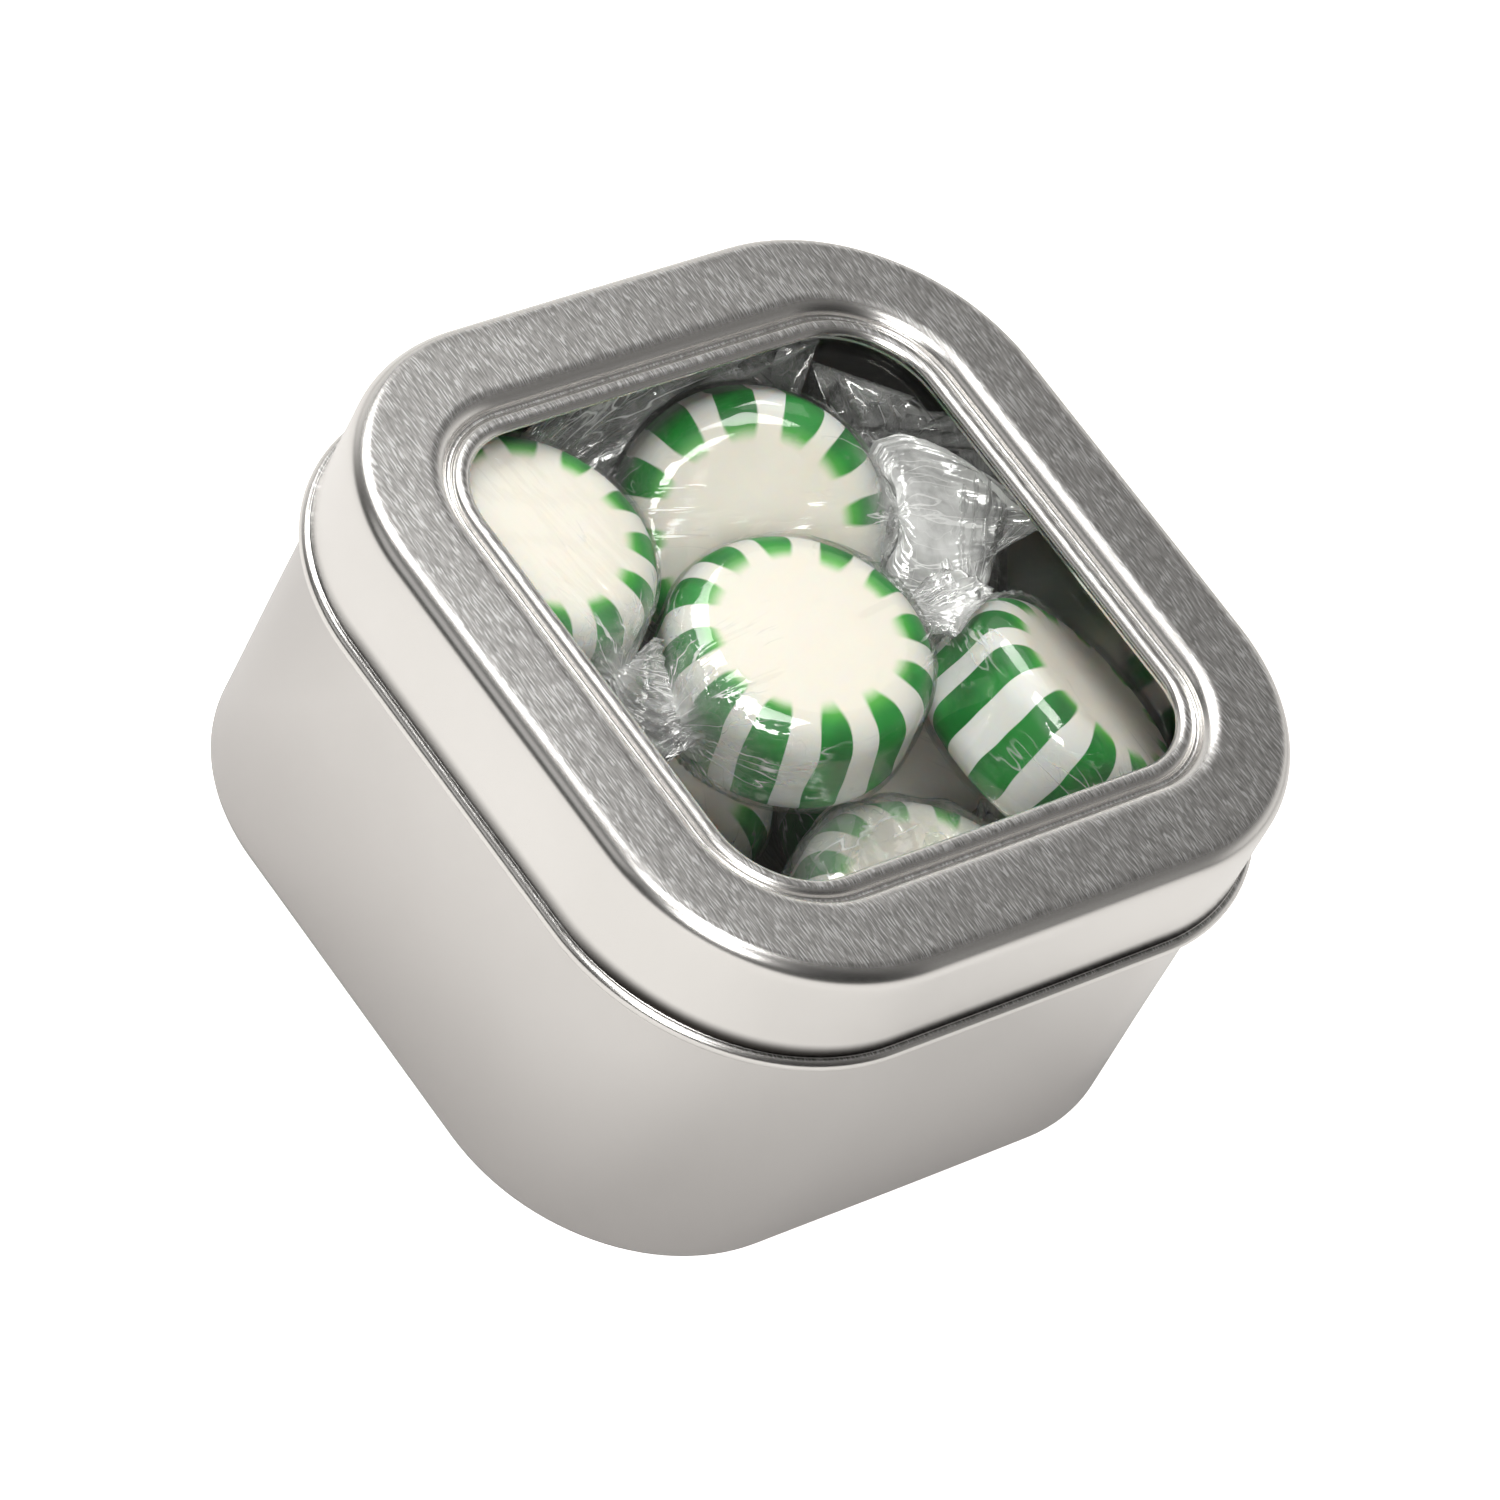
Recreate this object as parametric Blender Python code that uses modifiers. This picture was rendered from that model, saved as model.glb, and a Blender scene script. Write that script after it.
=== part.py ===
"""A square window tin: a drawn tinplate body, a slip lid with a clear window, and the wrapped mints it holds.

Metres, +Z up. The origin is the middle of the tin's flat bottom. The lid lifts straight up along +Z.
"""

import math

import bmesh
import bpy
from mathutils import Euler, Vector

# Tin and lid
LID_SIDE = 0.0760
LID_CORNER_RADIUS = 0.0215
SHEET = 0.0003
TOUCH_GAP = 0.0003
SLIP_GAP = 0.0005
RIM_GAP = 0.0005
LID_SKIRT_HEIGHT = 0.0125
LID_EDGE_RADIUS = 0.0019
FLARE_HEIGHT = 0.0017
BEAD_RADIUS = 0.00065
BEAD_REACH = 0.00095
FLOOR_EDGE_RADIUS = 0.0020
RIM_CURL_RADIUS = 0.0006

# Window
RIM_WIDTH = 0.0118
WINDOW_CORNER_RADIUS = 0.0082
HEM_WIDTH = 0.0019
HEM_RISE = 0.0007
GROOVE_WIDTH = 0.0006
GROOVE_DEPTH = 0.00135
DROP_RADIUS = 0.0010
PANE_THICKNESS = 0.0004
PANE_LAP = 0.0031
FRAME_LEDGE = 0.0026
FRAME_FLANGE = 0.0034

# Mints and wrappers: so many mints fill the tin from wall to wall, and each is half as thick as it is wide
MINTS_ACROSS_SHARE = 2.877
MINT_DEPTH_SHARE = 0.505
MINT_EDGE_RADIUS = 0.00355
FILM = 0.00015
FILM_GAP = 0.0003
NECK_RADIUS = 0.0015
NECK_BORE_RADIUS = 0.0010
NECK_REACH = 0.0026
CUT_OVERRUN = 0.0020

# Facets
CORNER_STEPS = 7
HEM_STEPS = 5
DROP_STEPS = 3
EDGE_STEPS = 4
BEAD_STEPS = 6
CURL_STEPS = 5
TURN_STEPS = 16
MINT_EDGE_STEPS = 2
NECK_SIDES = 8

# Sizes that follow. The tin is deep enough for a mint on its edge with a flat one on top of it.
LID_HALF = LID_SIDE / 2
WINDOW_HALF = LID_HALF - RIM_WIDTH
BODY_HALF = LID_HALF - SHEET - SLIP_GAP
BODY_CORNER_RADIUS = LID_CORNER_RADIUS - SHEET - SLIP_GAP
INNER_HALF = BODY_HALF - SHEET
WRAP = FILM + FILM_GAP
WRAPPED_RADIUS = INNER_HALF / MINTS_ACROSS_SHARE
MINT_RADIUS = WRAPPED_RADIUS - WRAP
MINT_THICKNESS = 2 * MINT_RADIUS * MINT_DEPTH_SHARE
WRAPPED_THICKNESS = MINT_THICKNESS + 2 * WRAP
WRAPPED_EDGE_RADIUS = MINT_EDGE_RADIUS + WRAP
NECK_END = WRAPPED_RADIUS + NECK_REACH
MINT_REACH = INNER_HALF - WRAPPED_RADIUS - TOUCH_GAP
LAYER_PITCH = WRAPPED_THICKNESS + TOUCH_GAP
HEAP_FLOOR = SHEET + TOUCH_GAP
HEAP_TOP = HEAP_FLOOR + 2 * WRAPPED_RADIUS + LAYER_PITCH
FRAME_UNDERSIDE = HEAP_TOP + TOUCH_GAP
PANE_UNDERSIDE = FRAME_UNDERSIDE + SHEET + TOUCH_GAP
PANE_TOP = PANE_UNDERSIDE + PANE_THICKNESS
TIN_HEIGHT = PANE_TOP + TOUCH_GAP + SHEET + GROOVE_DEPTH
PANEL_UNDERSIDE = TIN_HEIGHT - SHEET
BODY_HEIGHT = PANEL_UNDERSIDE - RIM_GAP
BEAD_Z = TIN_HEIGHT - LID_SKIRT_HEIGHT + BEAD_RADIUS
PANE_HALF = WINDOW_HALF + PANE_LAP
FRAME_WALL_HALF = PANE_HALF + TOUCH_GAP + SHEET

# Each mint: x and y as shares of MINT_REACH, the layer that it stands on, where None is right under the window,
# then the side it leans to, its lean and its wrapper's turn, in degrees.
HEAP_SHARES = {
    "left": (-0.745, -0.82, None, 0, 0, 9),
    "back": (-0.785, 0.505, 1, -47, 49, 113),
    "front": (0.016, 0.007, None, -97, 6.5, 8),
    "right": (0.535, 0.99, None, 88, 31, 92),
    "low": (0.997, 0.124, 1, 0, 0, 90),
    "upright": (-0.84, -0.84, 0, 45, 90, 90),
    "base_right": (0.88, 0.08, 0, 0, 0, 90),
    "base_back": (-0.85, 0.85, 0, 0, 0, 45),
    "base_far": (0.25, 0.99, 0, 0, 0, 35),
    "base_middle": (-0.25, -0.09, 0, 0, 0, 160),
    "base_front": (0.42, -0.98, 0, 0, 0, 20),
}


def clear_scene():
    for obj in list(bpy.data.objects):
        bpy.data.objects.remove(obj, do_unlink=True)


def collection(name, hidden=False):
    made = bpy.data.collections.new(name)
    made.hide_render = hidden
    bpy.context.scene.collection.children.link(made)
    return made


def material(name, color, roughness, metallic=0.0, alpha=1.0, transmission=0.0):
    made = bpy.data.materials.new(name)
    made.use_nodes = True
    shader = made.node_tree.nodes["Principled BSDF"]
    shader.inputs["Base Color"].default_value = (*color, 1.0)
    shader.inputs["Roughness"].default_value = roughness
    shader.inputs["Metallic"].default_value = metallic
    shader.inputs["Alpha"].default_value = alpha
    shader.inputs["Transmission Weight"].default_value = transmission
    return made


def add_object(name, mesh, into, parent=None, location=(0, 0, 0), rotation=None):
    obj = bpy.data.objects.new(name, mesh)
    into.objects.link(obj)
    obj.parent = parent
    obj.location = location
    if rotation is not None:
        obj.rotation_euler = rotation
    return obj


def add_empty(name, into, location):
    return add_object(name, None, into, location=location)


def rounded_square(half, radius, z):
    """Points of a rounded square of this half side and corner radius, anticlockwise seen from above."""
    points = []
    for corner in range(4):
        centre = Vector((half - radius, half - radius))
        centre.rotate(Euler((0, 0, corner * math.pi / 2)).to_matrix().to_2x2())
        for step in range(CORNER_STEPS + 1):
            turn = (corner + step / CORNER_STEPS) * math.pi / 2
            points.append((centre.x + radius * math.cos(turn), centre.y + radius * math.sin(turn), z))
    return points


def loft(name, rings, closed, paint):
    """A mesh through rings of equally many points: a closed section's first and last rings join, others get caps."""
    bm = bmesh.new()
    loops = [[bm.verts.new(point) for point in ring] for ring in rings]
    pairs = list(zip(loops, loops[1:]))
    if closed:
        pairs.append((loops[-1], loops[0]))
    else:
        bm.faces.new(loops[0])
        bm.faces.new(loops[-1])
    for low, high in pairs:
        for i in range(len(low)):
            j = (i + 1) % len(low)
            bm.faces.new((low[i], low[j], high[j], high[i]))
    bmesh.ops.recalc_face_normals(bm, faces=bm.faces)
    mesh = bpy.data.meshes.new(name)
    bm.to_mesh(mesh)
    bm.free()
    mesh.materials.append(paint)
    mesh.shade_smooth()
    mesh.set_sharp_from_angle(angle=math.radians(40))
    return mesh


def arc(centre, radius, start, end, steps, height_radius=None):
    """Points (out, z) along a round or oval arc, from start to end in degrees."""
    tall = radius if height_radius is None else height_radius
    points = []
    for step in range(steps + 1):
        turn = math.radians(start + (end - start) * step / steps)
        points.append((centre[0] + radius * math.cos(turn), centre[1] + tall * math.sin(turn)))
    return points


def folded(path, side):
    """The closed section of a folded sheet: the path, then back along its other face, on its left for side +1."""
    inner = []
    for i, point in enumerate(path):
        before = Vector(point) - Vector(path[max(i - 1, 0)])
        after = Vector(path[min(i + 1, len(path) - 1)]) - Vector(point)
        first = (before if i > 0 else after).normalized()
        second = (after if i < len(path) - 1 else before).normalized()
        normal = Vector((-(first + second).y, (first + second).x)).normalized()
        stretch = 1 / max(normal.dot(Vector((-first.y, first.x))), math.cos(math.radians(60)))
        inner.append(tuple(Vector(point) + normal * side * SHEET * stretch))
    return path + inner[::-1]


def swept(section, radius_at):
    """Rings for each (out, z) of a section, with the corner radius that radius_at gives there."""
    return [rounded_square(out, radius_at(out), z) for out, z in section]


def lid_corner(out):
    """Corner radius on the lid: its own at the skirt, the window's at the window, even in between."""
    share = (LID_HALF - out) / (LID_HALF - WINDOW_HALF)
    return LID_CORNER_RADIUS - share * (LID_CORNER_RADIUS - WINDOW_CORNER_RADIUS)


def body_corner(out):
    return BODY_CORNER_RADIUS - (BODY_HALF - out)


def body_section():
    """Floor edge, wall and the rim curled inwards, along the outer face."""
    path = arc((BODY_HALF - FLOOR_EDGE_RADIUS, FLOOR_EDGE_RADIUS), FLOOR_EDGE_RADIUS, -90, 0, EDGE_STEPS)
    curl = (BODY_HALF - RIM_CURL_RADIUS, BODY_HEIGHT - RIM_CURL_RADIUS)
    path += arc(curl, RIM_CURL_RADIUS, 0, 230, CURL_STEPS)
    return folded(path, side=1)


def lid_section():
    """Window hem, groove, panel, skirt, flare and rolled bead, along the outer face and down from the lid's top."""
    groove = TIN_HEIGHT - GROOVE_DEPTH
    path = arc((WINDOW_HALF + HEM_WIDTH / 2, groove), HEM_WIDTH / 2, 170, 10, HEM_STEPS, HEM_RISE)
    drop = WINDOW_HALF + HEM_WIDTH + GROOVE_WIDTH + DROP_RADIUS
    path.append((WINDOW_HALF + HEM_WIDTH + GROOVE_WIDTH / 2, groove))
    path += arc((drop, TIN_HEIGHT - DROP_RADIUS), DROP_RADIUS, 180, 90, DROP_STEPS)
    path += arc((LID_HALF - LID_EDGE_RADIUS, TIN_HEIGHT - LID_EDGE_RADIUS), LID_EDGE_RADIUS, 90, 0, EDGE_STEPS)
    bead = (LID_HALF + BEAD_REACH - BEAD_RADIUS, BEAD_Z)
    path.append((LID_HALF, BEAD_Z + FLARE_HEIGHT))
    path.append((LID_HALF + BEAD_REACH / 8, BEAD_Z + (FLARE_HEIGHT + BEAD_RADIUS) / 2))
    path += arc(bead, BEAD_RADIUS, 100, -120, BEAD_STEPS)
    return folded(path, side=-1)


def frame_section():
    """A ledge under the pane, a wall round it, and a flange under the lid's panel, along the lower face."""
    top = PANEL_UNDERSIDE - TOUCH_GAP
    path = [
        (FRAME_WALL_HALF - FRAME_LEDGE, FRAME_UNDERSIDE),
        (FRAME_WALL_HALF, FRAME_UNDERSIDE),
        (FRAME_WALL_HALF, top - SHEET),
        (FRAME_WALL_HALF + FRAME_FLANGE, top - SHEET),
    ]
    return folded(path, side=1)


def build_tin(into, paint):
    add_object("tin_body", loft("tin_body", swept(body_section(), body_corner), False, paint), into)


def build_lid(into, paints):
    """The lid's pieces, on an empty on the lift's axis."""
    lift = add_empty("lid_lift_axis", into, (0, 0, BODY_HEIGHT))
    pane = [rounded_square(PANE_HALF, lid_corner(PANE_HALF), z) for z in (PANE_UNDERSIDE, PANE_TOP)]
    meshes = {
        "lid_shell": loft("lid_shell", swept(lid_section(), lid_corner), True, paints["tinplate"]),
        "window_pane": loft("window_pane", pane, False, paints["clear"]),
        "pane_frame": loft("pane_frame", swept(frame_section(), lid_corner), True, paints["tinplate"]),
    }
    for name, mesh in meshes.items():
        add_object(name, mesh, into, lift, (0, 0, -BODY_HEIGHT))


def turned(name, into, radius, half, edge):
    """A thick round disc with rounded edges, turned about Z from its profile."""
    profile = [(0, half)]
    profile += arc((radius - edge, half - edge), edge, 90, 0, MINT_EDGE_STEPS)
    profile += arc((radius - edge, edge - half), edge, 0, -90, MINT_EDGE_STEPS)
    profile.append((0, -half))
    mesh = bpy.data.meshes.new(name)
    edges = [(i, i + 1) for i in range(len(profile) - 1)]
    mesh.from_pydata([(out, 0, z) for out, z in profile], edges, [])
    obj = add_object(name, mesh, into)
    screw = obj.modifiers.new("turn", "SCREW")
    screw.axis = "Z"
    screw.steps = TURN_STEPS
    screw.render_steps = TURN_STEPS
    screw.use_merge_vertices = True
    screw.merge_threshold = MINT_EDGE_RADIUS / 1000
    return obj


def along_x(name, into, radius, length):
    """A cylinder along X, for the neck of a wrapper or its bore."""
    bm = bmesh.new()
    bmesh.ops.create_cone(
        bm, cap_ends=True, segments=NECK_SIDES, radius1=radius, radius2=radius, depth=length
    )
    bmesh.ops.rotate(bm, verts=bm.verts, matrix=Euler((0, math.pi / 2, 0)).to_matrix())
    mesh = bpy.data.meshes.new(name)
    bm.to_mesh(mesh)
    bm.free()
    return add_object(name, mesh, into)


def boolean(obj, operation, other):
    cut = obj.modifiers.new(other.name, "BOOLEAN")
    cut.operation = operation
    cut.solver = "EXACT"
    cut.object = other


def settled(obj, name, paint):
    """The object's mesh as its modifiers make it, ready to share among copies."""
    graph = bpy.context.evaluated_depsgraph_get()
    mesh = bpy.data.meshes.new_from_object(obj.evaluated_get(graph))
    mesh.name = name
    mesh.materials.clear()
    mesh.materials.append(paint)
    mesh.shade_smooth()
    mesh.set_sharp_from_angle(angle=math.radians(50))
    return mesh


def mint_mesh(cutters, paint):
    shape = turned("mint_shape", cutters, MINT_RADIUS, MINT_THICKNESS / 2, MINT_EDGE_RADIUS)
    return settled(shape, "mint", paint)


def wrapper_mesh(cutters, paint):
    """Film close round a mint, gathered into a hollow neck at each end of the twist."""
    sizes = (MINT_RADIUS, MINT_THICKNESS / 2, MINT_EDGE_RADIUS)
    outside = turned("wrapper_outside", cutters, *(size + WRAP for size in sizes))
    inside = turned("wrapper_inside", cutters, *(size + FILM_GAP for size in sizes))
    neck = along_x("wrapper_neck", cutters, NECK_RADIUS, 2 * NECK_END)
    bore = along_x("wrapper_bore", cutters, NECK_BORE_RADIUS, 2 * (NECK_END + CUT_OVERRUN))
    boolean(outside, "UNION", neck)
    boolean(outside, "DIFFERENCE", inside)
    boolean(outside, "DIFFERENCE", bore)
    return settled(outside, "wrapper", paint)


def half_height(lean):
    """From the middle of a wrapped mint down to its lowest point, when it leans by this many degrees."""
    turn = math.radians(lean)
    across = (WRAPPED_RADIUS - WRAPPED_EDGE_RADIUS) * math.sin(turn)
    deep = (WRAPPED_THICKNESS / 2 - WRAPPED_EDGE_RADIUS) * math.cos(turn)
    return across + deep + WRAPPED_EDGE_RADIUS


def build_contents(into, cutters, paints):
    """The heap of wrapped mints, each placed and leaned by its row of shares."""
    heap = add_empty("heap", into, (0, 0, HEAP_FLOOR))
    mint = mint_mesh(cutters, paints["mint"])
    wrapper = wrapper_mesh(cutters, paints["film"])
    for shape in list(cutters.objects):
        bpy.data.objects.remove(shape, do_unlink=True)
    room = HEAP_TOP - HEAP_FLOOR
    for name, (x, y, layer, side, lean, twist) in HEAP_SHARES.items():
        half = half_height(lean)
        middle = room - half if layer is None else layer * LAYER_PITCH + half
        place = (x * MINT_REACH, y * MINT_REACH, middle)
        turn = Euler((0, 0, math.radians(side))).to_matrix()
        turn = turn @ Euler((0, math.radians(lean), 0)).to_matrix()
        turn = turn @ Euler((0, 0, math.radians(twist))).to_matrix()
        for piece, mesh in (("mint", mint), ("wrapper", wrapper)):
            add_object(f"{piece}_{name}", mesh, into, heap, place, turn.to_euler())


def main():
    clear_scene()
    tin = collection("window_tin")
    cutters = collection("cutters", hidden=True)
    paints = {
        "tinplate": material("tinplate", (0.72, 0.71, 0.69), 0.32, metallic=1.0),
        "clear": material("clear_plastic", (0.95, 0.97, 0.95), 0.05, alpha=0.25, transmission=1.0),
        "mint": material("hard_candy", (0.93, 0.90, 0.84), 0.25),
        "film": material("clear_film", (0.96, 0.97, 0.96), 0.08, alpha=0.3, transmission=1.0),
    }
    build_tin(tin, paints["tinplate"])
    build_lid(tin, paints)
    build_contents(tin, cutters, paints)


main()
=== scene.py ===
"""Looks of the window tin: tinplate, striped mints and crumpled cellophane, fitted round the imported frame."""

import math
from collections import namedtuple

import bpy
import numpy as np
from mathutils import Matrix, Vector


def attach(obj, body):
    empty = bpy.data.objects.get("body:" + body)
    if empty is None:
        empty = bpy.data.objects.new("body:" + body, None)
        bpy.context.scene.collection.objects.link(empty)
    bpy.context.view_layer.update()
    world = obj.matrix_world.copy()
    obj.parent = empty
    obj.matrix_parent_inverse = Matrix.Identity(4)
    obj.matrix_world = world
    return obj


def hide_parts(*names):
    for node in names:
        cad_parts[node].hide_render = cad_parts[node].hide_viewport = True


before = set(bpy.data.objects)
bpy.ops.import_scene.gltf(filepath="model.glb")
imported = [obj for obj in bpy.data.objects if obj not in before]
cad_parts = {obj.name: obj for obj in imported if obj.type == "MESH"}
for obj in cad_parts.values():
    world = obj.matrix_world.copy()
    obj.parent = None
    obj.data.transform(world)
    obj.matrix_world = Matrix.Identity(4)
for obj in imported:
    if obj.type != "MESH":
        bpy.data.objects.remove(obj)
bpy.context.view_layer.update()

# Sizes in millimetres, as in the part's source but for the shoulder round the window and the flare
MM = 0.001
SHEET = 0.3
TOUCH_GAP = 0.3
LID_HALF = 38.0
LID_CORNER = 21.5
LID_SKIRT = 12.5
LID_EDGE = 1.9
FLARE_RISE = 3.2
FLARE_REACH = 0.13
BEAD_RADIUS = 0.65
BEAD_REACH = 0.95
BODY_HALF = 37.2
BODY_CORNER = 20.7
FLOOR_EDGE = 2.0
CURL_RADIUS = 0.6
RIM_GAP = 0.5
WINDOW_HALF = 26.2
WINDOW_CORNER = 8.2
HEM_WIDTH = 1.9
HEM_RISE = 0.7
GROOVE_WIDTH = 0.6
GROOVE_DEPTH = 1.35
SHOULDER_WIDTH = 1.9
PANE_THICKNESS = 0.4
PANE_LAP = 3.1
FRAME_LEDGE = 2.6
FRAME_FLANGE = 3.4
WRAP = 0.45
MINTS_ACROSS_SHARE = 2.877
MINT_DEPTH_SHARE = 0.505
MINT_EDGE = 3.55

INNER_HALF = BODY_HALF - SHEET
WRAPPED_RADIUS = INNER_HALF / MINTS_ACROSS_SHARE
MINT_RADIUS = WRAPPED_RADIUS - WRAP
MINT_THICKNESS = 2 * MINT_RADIUS * MINT_DEPTH_SHARE
WRAPPED_THICKNESS = MINT_THICKNESS + 2 * WRAP
WRAPPED_EDGE = MINT_EDGE + WRAP
MINT_REACH = INNER_HALF - WRAPPED_RADIUS - TOUCH_GAP
LAYER_PITCH = WRAPPED_THICKNESS + TOUCH_GAP
HEAP_FLOOR = SHEET + TOUCH_GAP
HEAP_TOP = HEAP_FLOOR + 2 * WRAPPED_RADIUS + LAYER_PITCH
FRAME_UNDERSIDE = HEAP_TOP + TOUCH_GAP
PANE_UNDERSIDE = FRAME_UNDERSIDE + SHEET + TOUCH_GAP
PANE_TOP = PANE_UNDERSIDE + PANE_THICKNESS
TIN_HEIGHT = PANE_TOP + TOUCH_GAP + SHEET + GROOVE_DEPTH
PANEL_UNDERSIDE = TIN_HEIGHT - SHEET
BODY_HEIGHT = PANEL_UNDERSIDE - RIM_GAP
BEAD_Z = TIN_HEIGHT - LID_SKIRT + BEAD_RADIUS
PANE_HALF = WINDOW_HALF + PANE_LAP
FRAME_WALL_HALF = PANE_HALF + TOUCH_GAP + SHEET

# Steps along the tin's rounded rings and its sections
CORNER_STEPS = 28
SIDE_STEPS = 26
FLOOR_STEPS = 14
FLOOR_EDGE_STEPS = 12
WALL_STEPS = 24
CURL_STEPS = 14
HEM_STEPS = 18
SHOULDER_STEPS = 14
EDGE_STEPS = 14
PANEL_STEPS = 8
FLARE_POINTS = 18
BEAD_STEPS = 20
SHARP_ANGLE = math.radians(40)

# Mints: how far the face is domed and the whole swells, and columns and rows where seen and where hidden
MINT_DOME = 0.35
MINT_SWELL = 0.05
SEEN_MINT_GRID = (144, 9)
HIDDEN_MINT_GRID = (72, 5)

# The film: its neck, the place of the neck along the wrapper's axis, its distance from its own mint, and what
# its tails keep beyond that from their own mint, from another one and from the tin
NECK_RADIUS = 1.25
NECK_PLACE = WRAPPED_RADIUS + 0.9
FILM_MARGIN = 0.35
OWN_SPARE = 0.25
OTHER_SPARE = 0.45
WALL_SPARE = 0.5
HALVINGS = 24
CLEARING_ROUNDS = 3

# Columns, rows of half a hull and rows of a tail, where the wrapper is seen, where only its tails are, and
# where it is hidden
SEEN_WRAPPER_GRID = (176, 44, 26)
TAILED_WRAPPER_GRID = (88, 14, 16)
HIDDEN_WRAPPER_GRID = (48, 14, 6)

# Pleats and thin folds at the two ends of a hull, their heights, the wind of the pleats round the neck in
# radians, and how far along the axis the pleats, the wind and the milky necks begin
PLEATS = (19, 17)
THIN_FOLDS = (13, 11)
PLEAT_HEIGHT = 0.75
THIN_FOLD_HEIGHT = 0.2
NECK_WIND = 1.1
PLEATS_START = 8.0
WIND_START = 10.5
MILK_START = 12.0
LEAST_MILK = 0.02
NECK_MILK = 0.9
LEAST_CRUMPLE = 0.14
TAIL_FOLDS = 9
TAIL_SMALL_FOLDS = 17

# A mint in the heap: x and y as shares of MINT_REACH, its layer (none is right under the window), side, lean
# and twist in degrees, how far round its stripes are turned, and whether it shows through the window
Mint = namedtuple("Mint", "x y layer side lean twist phase seen")
HEAP = {
    "left": Mint(-0.745, -0.82, None, 0, 0, 9, 0.035, True),
    "back": Mint(-0.785, 0.505, 1, -47, 49, 113, 0.0, True),
    "front": Mint(0.016, 0.007, None, -97, 6.5, 8, -0.006, True),
    "right": Mint(0.535, 0.99, None, 88, 31, 92, 0.058, True),
    "low": Mint(0.997, 0.124, 1, 0, 0, 90, 0.054, True),
    "upright": Mint(-0.84, -0.84, 0, 45, 90, 90, 0.0, False),
    "base_right": Mint(0.88, 0.08, 0, 0, 0, 90, 0.03, False),
    "base_back": Mint(-0.85, 0.85, 0, 0, 0, 45, 0.02, False),
    "base_far": Mint(0.25, 0.99, 0, 0, 0, 35, 0.0, False),
    "base_middle": Mint(-0.25, -0.09, 0, 0, 0, 160, 0.05, False),
    "base_front": Mint(0.42, -0.98, 0, 0, 0, 20, 0.01, False),
}

# How loosely the film lies over a mint, from taut at none
LOOSE = {"low": 1.0}
FIRST_SEED = 40

# A tail beyond a wrapper's neck: length, half widths from the neck to the tip, end direction (none is on from
# the neck), direction that the fan faces, depth of its folds, how milky it is, and how far its sides sweep
# back to the mint. Each wrapper has one tail along its axis and one the other way.
Tail = namedtuple("Tail", "length widths end facing depth milk sweep")
HIDDEN_TAIL = Tail(4.0, (1.3, 1.8, 2.4, 2.6, 2.4), None, (0.0, 0.0, 1.0), 0.4, 0.4, 0.0)
TAILS = {
    "left": (
        Tail(9.0, (1.5, 4.2, 5.6, 6.0, 4.5), (0.4, 0.8, -0.2), (0.3, -0.4, 1.0), 0.5, 0.35, 1.0),
        Tail(5.0, (1.3, 2.0, 3.0, 3.5, 3.0), (-0.3, 0.9, -0.5), (1.0, 0.2, 0.4), 0.8, 0.4, 0.0),
    ),
    "back": (
        Tail(14.0, (1.8, 7.6, 8.4, 7.6, 6.4, 4.8, 2.8, 0.6), (0.55, 0.78, 0.34), (0.1, -0.5, 0.85),
             0.42, 1.0, 4.5),
        Tail(43.0, (1.3, 4.0, 6.5, 7.5, 8.5, 8.5, 7.5), (0.05, 0.88, 0.47), (0.8, -0.3, 0.4), 1.3, 0.30, 0.0),
    ),
    "front": (
        Tail(9.0, (2.1, 3.2, 4.4, 5.4, 5.0), (-0.3, -0.9, -0.1), (0.4, -0.3, 1.0), 1.3, 0.35, 0.0),
        Tail(8.0, (1.3, 2.6, 4.0, 4.4, 3.4), (0.3, 0.9, 0.3), (-0.2, 0.1, 1.0), 0.8, 0.5, 0.0),
    ),
    "right": (
        Tail(21.0, (1.3, 4.2, 6.0, 7.5, 8.0, 7.5), (-0.84, 0.42, 0.22), (0.3, -0.6, 0.7), 1.2, 0.30, 1.5),
        Tail(7.0, (1.3, 2.5, 4.0, 4.5, 4.0), (0.5, -0.5, -0.7), (0.8, 0.5, 0.4), 0.8, 0.4, 0.0),
    ),
    "low": (
        Tail(13.0, (1.3, 4.0, 6.5, 7.5, 6.0), (-1.0, 0.1, 0.35), (0.5, -0.2, 0.8), 0.9, 0.35, 0.0),
        Tail(12.0, (1.3, 4.0, 6.5, 7.5, 6.5), (-0.6, -0.7, 0.6), (0.6, -0.2, 0.8), 0.9, 0.35, 0.0),
    ),
    "base_back": (
        Tail(49.0, (1.5, 4.0, 6.0, 8.0, 10.0, 10.5, 9.0), (-0.66, -0.33, 0.68), (0.6, -0.75, 0.3),
             1.9, 0.5, 0.0),
        Tail(27.0, (1.5, 4.0, 6.0, 7.0, 7.0, 6.0), (0.05, 0.10, 1.0), (0.9, -0.4, 0.3), 1.1, 0.30, 0.0),
    ),
}

# Metal tones, each from its darker to its lighter clouds or grain, the two painted-shade tones that darken
# walls, and the painted glints' white
LID_LEVEL = ((0.40, 0.392, 0.385, 1), (0.74, 0.73, 0.72, 1))
LID_SKIRT_TONE = ((0.80, 0.785, 0.765, 1), (0.835, 0.82, 0.80, 1))
BODY_LEVEL = ((0.50, 0.49, 0.48, 1), (0.64, 0.63, 0.62, 1))
BODY_WALL = ((0.69, 0.675, 0.66, 1), (0.725, 0.71, 0.695, 1))
FOOT_SHADE_TONE = (0.43, 0.415, 0.41, 1)
CREASE_SHADE_TONE = (0.030, 0.027, 0.025, 1)
GLINT_STREAK_TONE = (1, 1, 1, 1)

# Height in metres below which painted shade darkens the body's walls, and three heights on the lid's skirt:
# where the painted shade in its crease starts, where it is darkest, and where it ends on the bead
FOOT_SHADE_HEIGHT = 0.036
CREASE = [(BEAD_Z + rise) * MM for rise in (FLARE_RISE, BEAD_RADIUS * 1.12, BEAD_RADIUS * 0.95)]

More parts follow.
